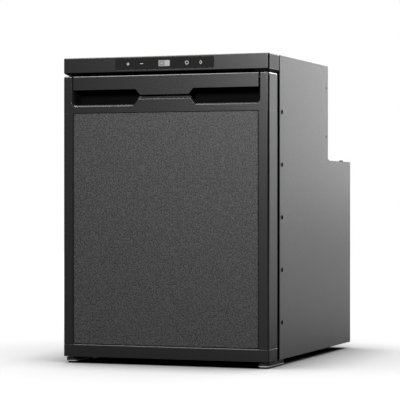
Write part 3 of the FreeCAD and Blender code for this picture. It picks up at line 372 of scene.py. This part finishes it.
def decor_laminate():
    """Sand-textured laminate: dark ground with paler grains standing out of it."""
    material, shader = new_material("decor_laminate", grey(0.05), 0.55)
    tree = material.node_tree
    grains = texture(material, "ShaderNodeTexVoronoi", Scale=decor_grains, Randomness=0.85)
    grains.voronoi_dimensions = "2D"
    turned = tree.nodes.new("ShaderNodeMapping")
    turned.inputs["Rotation"].default_value = (math.pi / 2, 0, 0)  # lays the pattern on the panel's face
    tree.links.new(grains.inputs["Vector"].links[0].from_socket, turned.inputs["Vector"])
    tree.links.new(turned.outputs["Vector"], grains.inputs["Vector"])
    ground = noise(material, 2 * decor_grains, 3)
    ground_rise = ranged(tree, ground, (0.35, 0.75), (0.04, 0.22))
    domes = ranged(tree, grains.outputs["Distance"], (0.15, 0.65), (1.0, 0.0))
    heights = ranged(tree, grains.outputs["Color"], (0.3, 0.8), (0.5, 1.0))
    grain_rise = combine(tree, "MULTIPLY", domes, heights)
    sand = combine(tree, "MULTIPLY_ADD", grain_rise, decor_grain_share, ground_rise)
    tint(material, shader, sand, grey(0.01), grey(0.092))
    polish(material, shader, ground, 0.48, 0.62)
    relief(material, shader, sand, 0.12 * mm)
    return material


def liner_white():
    """Vacuum-formed white plastic."""
    material, shader = new_material("liner_white", grey(0.78), 0.32)
    tint(material, shader, noise(material, 12, 2), (0.76, 0.77, 0.77), (0.8, 0.805, 0.8))
    polish(material, shader, noise(material, 40, 3), 0.28, 0.38)
    relief(material, shader, noise(material, 350, 2), 0.015 * mm)
    return material


def rigid_foam():
    """Pale foamed insulation with open cells."""
    material, shader = new_material("rigid_foam", (0.72, 0.64, 0.44), 0.85)
    tint(material, shader, noise(material, 500, 3), (0.6, 0.52, 0.34), (0.78, 0.7, 0.5))
    relief(material, shader, noise(material, 900, 3), 0.2 * mm)
    return material


def seal_rubber():
    """Soft dark rubber with a dusty bloom."""
    material, shader = new_material("seal_rubber", grey(0.006), 0.7, specular=0.2)
    tint(material, shader, noise(material, 60, 4), grey(0.004), grey(0.008))
    polish(material, shader, noise(material, 90, 3), 0.62, 0.78)
    relief(material, shader, noise(material, 1200, 2), 0.02 * mm)
    return material


def foot_rubber():
    """Hard black rubber."""
    material, shader = new_material("foot_rubber", grey(0.014), 0.65)
    tint(material, shader, noise(material, 120, 3), grey(0.01), grey(0.02))
    relief(material, shader, noise(material, 700, 3), 0.05 * mm)
    return material


def metal(name, color, roughness, grain_scale, grain_depth):
    """A metal with a rolled grain."""
    material, shader = new_material(name, color, roughness)
    shader.inputs["Metallic"].default_value = 1.0
    low, high = [roughness + spread for spread in metal_spread]
    polish(material, shader, noise(material, grain_scale / 4, 4), low, high)
    relief(material, shader, noise(material, grain_scale, 3), grain_depth)
    return material


def zinc_steel():
    """Bright zinc plating on the pins and the latch's spring."""
    return metal("zinc_steel", (0.62, 0.63, 0.64), 0.28, 600, 0.01 * mm)


def aluminium():
    """Bare rolled sheet of the evaporator, the condenser and its fins."""
    return metal("aluminium", (0.8, 0.81, 0.82), 0.36, 300, 0.03 * mm)


def copper():
    """Drawn tube of the refrigerant lines and their drier."""
    return metal("copper", (0.72, 0.36, 0.22), 0.3, 400, 0.02 * mm)


def bracket_paint():
    """Glossy black coat on the compressor's plate and the screws."""
    material, shader = new_material("bracket_paint", grey(0.03), 0.24)
    tint(material, shader, noise(material, 80, 3), grey(0.024), grey(0.038))
    polish(material, shader, noise(material, 120, 3), 0.2, 0.3)
    relief(material, shader, noise(material, 700, 2), 0.015 * mm)
    return material


def highlit_foot_paint():
    """The same paint on the front feet, with a painted highlight along their lower rim, as of light off
    the floor.
    """
    material, shader = new_material("highlit_foot_paint", grey(0.03), 0.25)
    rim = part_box("left_front_foot")[0].z + highlight_rim
    # painted highlight: pale grey below the rim height, the dark paint above it
    rim_highlight_mask = faded(material.node_tree, "Object", "Z", (rim, rim + highlight_fade), (0, 1))
    tint(material, shader, rim_highlight_mask, grey(0.6), grey(0.025))
    polish(material, shader, noise(material, 300, 3), 0.2, 0.3)
    relief(material, shader, noise(material, 900, 2), 0.02 * mm)
    return material


def wire_white():
    """Plastic-coated white wire."""
    material, shader = new_material("wire_white", grey(0.8), 0.3)
    polish(material, shader, noise(material, 150, 3), 0.25, 0.38)
    relief(material, shader, noise(material, 500, 2), 0.03 * mm)
    return material


def rack_plastic():
    """Clear frosted plastic of the door racks."""
    material, shader = new_material("rack_plastic", (0.82, 0.87, 0.9), 0.2)
    shader.inputs["Transmission Weight"].default_value = 0.45
    polish(material, shader, noise(material, 60, 3), 0.16, 0.28)
    relief(material, shader, noise(material, 200, 2), 0.02 * mm)
    return material


def lamp_plastic():
    """Ribbed warm-white lens of the interior lamp."""
    material, shader = new_material("lamp_plastic", (0.88, 0.87, 0.8), 0.25)
    ribs = texture(material, "ShaderNodeTexWave", Scale=180)
    ribs.bands_direction = "Z"
    relief(material, shader, ribs.outputs[0], 0.3 * mm)
    return material


def compressor_paint():
    """Black paint on the compressor's drawn shell."""
    material, shader = new_material("compressor_paint", grey(0.02), 0.3)
    tint(material, shader, noise(material, 30, 3), grey(0.015), grey(0.028))
    polish(material, shader, noise(material, 70, 3), 0.24, 0.38)
    relief(material, shader, noise(material, 400, 2), 0.03 * mm)
    return material


def board_green():
    """Solder mask over the weave of a circuit board."""
    material, shader = new_material("board_green", (0.02, 0.16, 0.07), 0.35)
    weave = texture(material, "ShaderNodeTexChecker", Scale=900)
    tint(material, shader, weave.outputs["Fac"], (0.018, 0.14, 0.06), (0.025, 0.18, 0.08))
    relief(material, shader, weave.outputs["Fac"], 0.01 * mm)
    return material


def matt_black():
    """Dead matt black, as painted shade on what sits deep in a gap or hole, and for the rivets."""
    material, shader = new_material("matt_black", grey(0.0025), 0.9, specular=0.1)
    tint(material, shader, noise(material, 300, 3), grey(0.002), grey(0.003))
    relief(material, shader, noise(material, 900, 2), 0.02 * mm)
    return material


def fan_black():
    """Satin black plastic of the fan."""
    material, shader = new_material("fan_black", grey(0.018), 0.38)
    tint(material, shader, noise(material, 90, 2), grey(0.015), grey(0.023))
    polish(material, shader, noise(material, 60, 3), 0.34, 0.46)
    relief(material, shader, noise(material, 1100, 2), 0.02 * mm)
    return material


finishes = {
    "cabinet_paint": cabinet_paint(),
    "black_plastic": grained_plastic("black_plastic"),
    "gloss_black": gloss_black(),
    "display_grey": display_grey(),
    "decor_laminate": decor_laminate(),
    "liner_white": liner_white(),
    "rigid_foam": rigid_foam(),
    "seal_rubber": seal_rubber(),
    "foot_rubber": foot_rubber(),
    "zinc_steel": zinc_steel(),
    "bracket_paint": bracket_paint(),
    "aluminium": aluminium(),
    "wire_white": wire_white(),
    "rack_plastic": rack_plastic(),
    "lamp_plastic": lamp_plastic(),
    "compressor_paint": compressor_paint(),
    "copper": copper(),
    "board_green": board_green(),
    "fan_black": fan_black(),
    "matt_black": matt_black(),
}
cap_plastic = grained_plastic("cap_plastic", edges=cap_edge_roughness)
bracket_finish = highlit_foot_paint()
own_finishes = {  # pieces that differ from the others of their slot
    "fascia": grained_plastic("fascia_plastic", sides=fascia_side_roughness),
    "door_top_cap": cap_plastic,
    "handle_plate": cap_plastic,
    "door_bottom_cap": grained_plastic("base_plastic", base_side_roughness, base_edge_roughness),
    "lower_hinge_bracket": bracket_finish,
    "left_front_foot": bracket_finish,
}
symbol_print = print_ink("symbol_white", 0.54)
digit_print = print_ink("digit_grey", 0.42)
unlit_print = print_ink("unlit_grey", 0.15)


# Carried-over pieces
def soften(piece, rounding):
    """Joins a piece's faces and rounds its sharp edges."""
    weld = piece.modifiers.new("weld", "WELD")
    weld.merge_threshold = weld_distance
    flatten = piece.modifiers.new("flatten", "DECIMATE")
    flatten.decimate_type = "DISSOLVE"
    flatten.angle_limit = flat_angle
    bevel = piece.modifiers.new("bevel", "BEVEL")
    bevel.width = rounding
    bevel.segments = rounding_steps
    bevel.limit_method = "ANGLE"
    bevel.angle_limit = sharp_angle
    shading = piece.modifiers.new("shading", "WEIGHTED_NORMAL")
    shading.mode = "FACE_AREA"


def dress_nodes():
    """Gives every carried-over piece its finish and rounded edges."""
    for subpart in record["subparts"]:
        piece = frame["nodes"][subpart["node"]]
        slot = subpart["material_slot"]
        piece.data.materials.clear()
        piece.data.materials.append(own_finishes.get(subpart["node"], finishes[slot]))
        rounding = edge_rounding.get(slot, usual_rounding)
        soften(piece, own_rounding.get(subpart["node"], rounding))


# Ways of making meshes
def new_piece(name, shape, material):
    """Turns a bmesh into a piece of one material."""
    bmesh.ops.recalc_face_normals(shape, faces=shape.faces)
    mesh = bpy.data.meshes.new(name)
    shape.to_mesh(mesh)
    shape.free()
    mesh.materials.append(material)
    piece = bpy.data.objects.new(name, mesh)
    bpy.context.scene.collection.objects.link(piece)
    return piece


def add_piece(name, shape, material, body):
    """Turns a bmesh into a piece that rides on a body."""
    piece = new_piece(name, shape, material)
    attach(piece, body)
    return piece


def lathe(shape, profile, place):
    """Adds a turned solid about a place's Z axis, from (radius, height) points.

    A third value draws a ring in between four arms, as for a cross recess.
    """
    quarter = round_sides // 4
    rings = []
    for radius, height, *notch in profile:
        if radius < weld_distance:
            rings.append([shape.verts.new(place @ Vector((0, 0, height)))])
            continue
        ring = []
        for i in range(round_sides):
            turn = 2 * math.pi * i / round_sides
            between_arms = i % quarter not in (0, 1, quarter - 1)
            reach = radius * notch[0] if notch and between_arms else radius
            point = Vector((reach * math.cos(turn), reach * math.sin(turn), height))
            ring.append(shape.verts.new(place @ point))
        rings.append(ring)
    for lower, upper in zip(rings, rings[1:]):
        for i in range(round_sides):
            corners = [
                lower[i % len(lower)],
                lower[(i + 1) % len(lower)],
                upper[(i + 1) % len(upper)],
                upper[i % len(upper)],
            ]
            shape.faces.new(list(dict.fromkeys(corners)))


def bridge(shape, one, other):
    """Joins two loops of equal length by a band of faces."""
    for i in range(len(one)):
        shape.faces.new((one[i - 1], one[i], other[i], other[i - 1]))


def slab(shape, outline, y, thickness, hole=None):
    """Adds a flat shape in the XZ plane, raised towards the front, with an optional hole."""
    loops = [outline] if hole is None else [outline, hole]
    front = []
    back = []
    for loop in loops:
        front.append([shape.verts.new((x, y - thickness, z)) for x, z in loop])
        back.append([shape.verts.new((x, y, z)) for x, z in loop])
    for near_loop, far_loop in zip(front, back):
        bridge(shape, near_loop, far_loop)
    for loops_on_face in (front, back):
        if hole is None:
            shape.faces.new(loops_on_face[0])
        else:
            bridge(shape, *loops_on_face)


def arc(x, z, radius, start, end, steps):
    """Points along an arc in the XZ plane, with angles from the X axis."""
    points = []
    for i in range(steps + 1):
        turn = start + (end - start) * i / steps
        points.append((x + radius * math.cos(turn), z + radius * math.sin(turn)))
    return points


def bar(x, z, width, height):
    """A rectangle's corners in the XZ plane."""
    return [
        (x - width / 2, z - height / 2),
        (x + width / 2, z - height / 2),
        (x + width / 2, z + height / 2),
        (x - width / 2, z + height / 2),
    ]


# Control panel
def plus_sign(shape, x, z, y):
    """A cross of two equal strokes."""
    reach = symbol_radius
    half = symbol_stroke / 2
    quarter = [(half, half), (half, reach), (-half, reach)]
    outline = []
    for turn in range(4):
        for px, pz in quarter:
            for _ in range(turn):
                px, pz = -pz, px
            outline.append((x + px, z + pz))
    slab(shape, outline, y, symbol_relief)


def minus_sign(shape, x, z, y):
    """One level stroke."""
    slab(shape, bar(x, z, 2 * symbol_radius, symbol_stroke), y, symbol_relief)


def power_sign(shape, x, z, y):
    """An open ring with a short stroke in its gap."""
    start = math.pi / 2 + power_gap
    end = math.pi / 2 + 2 * math.pi - power_gap
    outer = arc(x, z, ring_radius, start, end, ring_steps)
    inner = arc(x, z, ring_radius - ring_stroke, start, end, ring_steps)
    slab(shape, outer + inner[::-1], y, symbol_relief)
    slab(shape, bar(x, z + power_mark_rise, *power_mark), y, symbol_relief)


def mode_sign(shape, x, z, y):
    """An upright diamond ring."""
    def diamond(reach):
        """The corners of a diamond round the middle."""
        side = diamond_width * reach
        return [(x + side, z), (x, z + reach), (x - side, z), (x, z - reach)]

    outer = diamond(diamond_reach)
    inner = diamond(diamond_reach - diamond_stroke)
    slab(shape, outer, y, symbol_relief, hole=inner)


def control_symbols():
    """The printed touch symbols, a little proud of the panel."""
    low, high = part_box("control_panel")
    middle = (low.z + high.z) / 2
    draw = {"plus": plus_sign, "minus": minus_sign, "power": power_sign, "mode": mode_sign}
    for name, offset in symbol_offsets.items():
        shape = bmesh.new()
        draw[name](shape, offset, middle, low.y)
        add_piece("symbol_" + name, shape, symbol_print, "cabinet")


def display_digits():
    """A minus sign on an unlit window, and a figure of seven strokes, on the display."""
    low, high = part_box("display_lens")
    middle = (low.z + high.z) / 2
    window = bmesh.new()
    slab(window, bar(digit_offsets["minus_sign"], middle, *dark_window), low.y, symbol_relief / 2)
    add_piece("display_window", window, unlit_print, "cabinet")
    side = digit_width - digit_stroke
    rise = (digit_height - digit_stroke) / 2
    levels = [(0, j * rise, True) for j in (-1, 0, 1)]
    uprights = [(i * side / 2, j * rise / 2, False) for i in (-1, 1) for j in (-1, 1)]
    strokes = {"minus_sign": [(0, 0, True)], "eight": levels + uprights}
    for name, offset in digit_offsets.items():
        shape = bmesh.new()
        for x, z, level in strokes[name]:
            length = (side if level else rise) * digit_fill
            size = (length, digit_stroke) if level else (digit_stroke, length)
            slab(shape, bar(offset + x, middle + z, *size), low.y, symbol_relief)
        add_piece("digit_" + name, shape, digit_print, "cabinet")


# Small fasteners
def sideways(sign, x, y, z):
    """A place on a side panel whose Z axis points outwards."""
    return Matrix.Translation((x, y, z)) @ Matrix.Rotation(sign * math.pi / 2, 4, "Y")


def fixing_bushes():
    """Black bushes in the fixing holes down each side panel, in dead matt black as painted shade so that
    they read as dark holes.
    """
    bore_chamfer, bore_top = bush_bore_edge
    lip_chamfer, lip_top = bush_lip_edge
    profile = [
        (0, bush_height - bush_depth),
        (bush_bore, bush_height - bush_depth),
        (bush_bore, bore_top),
        (bush_bore + bore_chamfer, bush_height),
        (bush_lip - lip_chamfer, bush_height),
        (bush_lip, lip_top),
        (bush_lip, 0),
        (bush_barrel, 0),
        (bush_barrel, -bush_depth),
        (0, -bush_depth),
    ]
    for mount in record["mounts"]:
        if not mount["name"].endswith("fixing_outer"):
            continue
        x, y, middle = mount["pos_m"]
        sign = mount["axis"][0]
        pitch = mount["dims"]["spacing_y_mm"] * mm / (bush_steps[-1] - bush_steps[0])
        shape = bmesh.new()
        for step in bush_steps:
            lathe(shape, profile, sideways(sign, x, y, middle + step * pitch))
        side = "right" if sign > 0 else "left"
        add_piece(side + "_fixing_bushes", shape, finishes["matt_black"], "cabinet")


def side_rivets():
    """Domed heads near the rear edge of each side panel's upper half."""
    dome = [(rivet_radius * math.cos(turn), rivet_height * math.sin(turn)) for turn in rivet_turns]
    profile = [(0, 0)] + dome + [(0, rivet_height)]
    for side, sign in (("right", 1), ("left", -1)):
        low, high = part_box(side + "_side_panel")
        x = high.x if sign > 0 else low.x
        shape = bmesh.new()
        for z in rivet_heights:
            lathe(shape, profile, sideways(sign, x, rivet_y, z))
        add_piece(side + "_rivets", shape, finishes["matt_black"], "cabinet")


def screw_head(shape, place, radius, height):
    """A pan head with a cross recess."""
    profile = [(reach * radius, rise * height, *notch) for reach, rise, *notch in screw_section]
    lathe(shape, profile, place)


def cover_screws():
    """Screws along the step cover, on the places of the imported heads."""
    low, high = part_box("step_cover_screws")
    radius = cover_screw_radius
    shape = bmesh.new()
    for x in (low.x + radius, high.x - radius):
        for y in (low.y + radius, high.y - radius):
            screw_head(shape, Matrix.Translation((x, y, low.z)), radius, high.z - low.z)
    screws = add_piece("cover_screw_heads", shape, finishes["bracket_paint"], "cabinet")
    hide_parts("step_cover_screws")


def back_screws():
    """Screws in the corners of the two rear panels."""
    facing = Matrix.Rotation(-math.pi / 2, 4, "X")
    inset = back_screw_inset
    for name in ("rear_grille", "upper_back_panel"):
        low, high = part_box(name)
        shape = bmesh.new()
        for x in (low.x + inset, high.x - inset):
            for z in (low.z + inset, high.z - inset):
                place = Matrix.Translation((x, high.y, z)) @ facing
                screw_head(shape, place, back_screw_radius, back_screw_height)
        add_piece(name + "_screw_heads", shape, finishes["bracket_paint"], "cabinet")


# Door opening
def fascia_lip():
    """The sloping underside of the fascia, which narrows the gap above the door towards the rear."""
    skirt_low, skirt_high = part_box("fascia_skirt")
    fascia_low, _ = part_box("fascia")
    bottom = skirt_low.z + lip_clearance
    section = [
        (fascia_low.y + lip_margin, skirt_high.z),
        (fascia_low.y + lip_depth, bottom),
        (skirt_low.y, bottom),
        (skirt_low.y, skirt_high.z),
    ]
    shape = bmesh.new()
    ends = []
    for x in (fascia_low.x + lip_margin, skirt_high.x):
        ends.append([shape.verts.new((x, y, z)) for y, z in section])
    for end in ends:
        shape.faces.new(end)
    bridge(shape, *ends)
    # its dead matt black is painted shade in the gap above the door
    add_piece("fascia_lip", shape, finishes["matt_black"], "cabinet")


def breaker_strip():
    """The thin black strip that covers the cabinet's front folds around the door seal; its dead matt
    black is painted shade in the gap round the door.
    """
    panel_low, panel_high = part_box("right_side_panel")
    seal_low, seal_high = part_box("door_gasket")
    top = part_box("fascia")[0].z
    edges = [
        (panel_high.x, panel_low.z, top),
        (seal_high.x + strip_margin, seal_low.z - strip_margin, seal_high.z + strip_margin),
    ]
    outer, inner = [
        bar(0, (low + high) / 2, 2 * (reach - strip_margin), high - low - 2 * strip_margin)
        for reach, low, high in edges
    ]
    shape = bmesh.new()
    slab(shape, outer, panel_low.y, strip_thickness, hole=inner)
    add_piece("breaker_strip", shape, finishes["matt_black"], "cabinet")


def door_seal():
    """The folded rubber section, carried round the door with mitred corners."""
    low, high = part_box("door_gasket")
    half = (high - low) / 2
    middle = (low + high) / 2
    section = list(seal_section)
    section += [(-share, depth) for share, depth in reversed(seal_section)]
    shape = bmesh.new()
    loops = []
    for share, depth in section:
        y = low.y + depth * (high.y - low.y)
        out = seal_half_width * (share - 1)
        x = half.x + out
        z = half.z + out
        corners = [(x, z), (-x, z), (-x, -z), (x, -z)]
        loops.append([shape.verts.new((middle.x + i, y, middle.z + j)) for i, j in corners])
    for one, other in zip(loops, loops[1:] + loops[:1]):
        bridge(shape, one, other)
    seal = add_piece("door_seal", shape, finishes["seal_rubber"], "door")
    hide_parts("door_gasket")


# Latch
def leaf_path(low, high):
    """Points up a folded leaf with rounded folds, halfway through its thickness."""
    half = leaf_thickness / 2
    middle = (low + high) / 2
    reach = (high.y - low.y) / 2 - half
    points = []
    for i in range(leaf_steps + 1):
        share = i / leaf_steps
        swing = leaf_sharpness * math.cos(math.pi * leaf_folds * share)
        y = middle.y + reach * math.asin(swing) / math.asin(leaf_sharpness)
        points.append(Vector((middle.x, y, low.z + half + share * (high.z - low.z - leaf_thickness))))
    return points


def latch_leaf():
    """The folded leaf spring under the latch bolt."""
    low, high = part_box("latch_spring")
    half = leaf_thickness / 2
    side = Vector(((high.x - low.x) / 2, 0, 0))
    points = leaf_path(low, high)
    shape = bmesh.new()
    rows = []
    for i, point in enumerate(points):
        along = points[min(i + 1, leaf_steps)] - points[max(i - 1, 0)]
        out = along.cross(side).normalized() * half
        corners = (side + out, side - out, -side - out, -side + out)
        rows.append([shape.verts.new(point + corner) for corner in corners])
    for below, above in zip(rows, rows[1:]):
        bridge(shape, below, above)
    shape.faces.new(rows[0])
    shape.faces.new(rows[-1])
    leaf = new_piece("latch_leaf", shape, finishes["zinc_steel"])
    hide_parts("latch_spring")
    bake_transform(leaf)


# Stage, lights and camera
def light_path(tree):
    """The kinds of ray, and whether the camera looks this way, plainly or through clear plastic."""
    path = tree.nodes.new("ShaderNodeLightPath").outputs
    return path, combine(tree, "MAXIMUM", path["Is Camera Ray"], path["Is Transmission Ray"])


def floor_finish():
    """Pale, with a contact shadow; white to the camera and, towards the rear, in reflections."""
    material = bpy.data.materials.new("stage_floor")
    material.use_nodes = True
    tree = material.node_tree
    tree.nodes.remove(tree.nodes["Principled BSDF"])
    surface = tree.nodes.new("ShaderNodeBsdfDiffuse")
    path, seen = light_path(tree)
    rearward = faded(tree, "Object", "Y", floor_fade, (0, 1))
    white = combine(tree, "MAXIMUM", seen, combine(tree, "MULTIPLY", path["Is Glossy Ray"], rearward))
    color = toned(tree, white, grey(floor_tone), grey(floor_white / fill_strength))
    contact = tree.nodes.new("ShaderNodeAmbientOcclusion")
    contact.inputs["Distance"].default_value = contact_reach
    tree.links.new(color, contact.inputs["Color"])
    under = tree.nodes.new("ShaderNodeAmbientOcclusion")
    under.inputs["Distance"].default_value = under_reach
    shaded = tree.nodes.new("ShaderNodeVectorMath")
    shaded.operation = "SCALE"
    tree.links.new(contact.outputs["Color"], shaded.inputs[0])
    tree.links.new(ranged(tree, under.outputs["AO"], under_shares, (0, 1)), shaded.inputs["Scale"])
    tree.links.new(shaded.outputs["Vector"], surface.inputs["Color"])
    tree.links.new(surface.outputs[0], tree.nodes["Material Output"].inputs["Surface"])
    return material


def floor():
    """A plain floor, level with the feet."""
    mesh = bpy.data.meshes.new("stage_floor")
    reach = floor_half
    mesh.from_pydata(
        [(-reach, -reach, 0), (reach, -reach, 0), (reach, reach, 0), (-reach, reach, 0)],
        [],
        [(0, 1, 2, 3)],
    )
    mesh.materials.append(floor_finish())
    ground = bpy.data.objects.new("stage_floor", mesh)
    bpy.context.scene.collection.objects.link(ground)
    return ground


def studio_world():
    """White to the camera, a soft fill for matt surfaces, and a backdrop at the rear for gloss."""
    world = bpy.data.worlds.new("studio")
    bpy.context.scene.world = world
    world.cycles.sampling_method = "NONE"  # its strength goes by the ray that meets it
    world.use_nodes = True
    tree = world.node_tree
    path, seen = light_path(tree)
    matt = combine(tree, "MULTIPLY", path["Is Diffuse Ray"], fill_strength)
    backdrop = faded(tree, "Generated", "Y", rear_fade, gloss_backdrop)
    gloss = combine(tree, "MULTIPLY", path["Is Glossy Ray"], backdrop)
    strength = combine(tree, "ADD", combine(tree, "ADD", seen, matt), gloss)
    sky = tree.nodes["Background"]
    sky.inputs["Color"].default_value = (*grey(1.0), 1)
    tree.links.new(strength, sky.inputs["Strength"])


def softbox(name, place, size, power, shade):
    """A soft rectangular lamp aimed at the fridge and kept off what its shade holds."""
    lamp = bpy.data.lights.new(name, "AREA")
    lamp.shape = "RECTANGLE"
    lamp.size, lamp.size_y = size
    lamp.energy = power
    box = bpy.data.objects.new(name, lamp)
    box.location = place
    run = Vector(lamp_aim) - Vector(place)
    box.rotation_euler = run.to_track_quat("-Z", "Y").to_euler()
    box.visible_camera = False
    box.light_linking.receiver_collection = shade
    bpy.context.scene.collection.objects.link(box)


def lamp_shade(ground):
    """A light-linking group that keeps the lamps off the floor."""
    shade = bpy.data.collections.new("lamp_shade")
    shade.objects.link(ground)
    shade.collection_objects[0].light_linking.link_state = "EXCLUDE"
    return shade


def camera():
    """The photograph's viewpoint."""
    eye = bpy.data.cameras.new("camera")
    eye.lens = camera_lens
    eye.shift_y = camera_shift
    stand = bpy.data.objects.new("camera", eye)
    stand.location = camera_place
    stand.rotation_euler = (math.pi / 2, 0, camera_turn)
    bpy.context.scene.collection.objects.link(stand)
    bpy.context.scene.camera = stand


# The whole scene
dress_nodes()
control_symbols()
display_digits()
fixing_bushes()
side_rivets()
cover_screws()
back_screws()
fascia_lip()
breaker_strip()
door_seal()
latch_leaf()
ground = floor()
studio_world()
shade = lamp_shade(ground)
for name, (place, size, power) in softboxes.items():
    softbox(name, place, size, power, shade)
camera()
bpy.context.scene.view_settings.view_transform = "Standard"
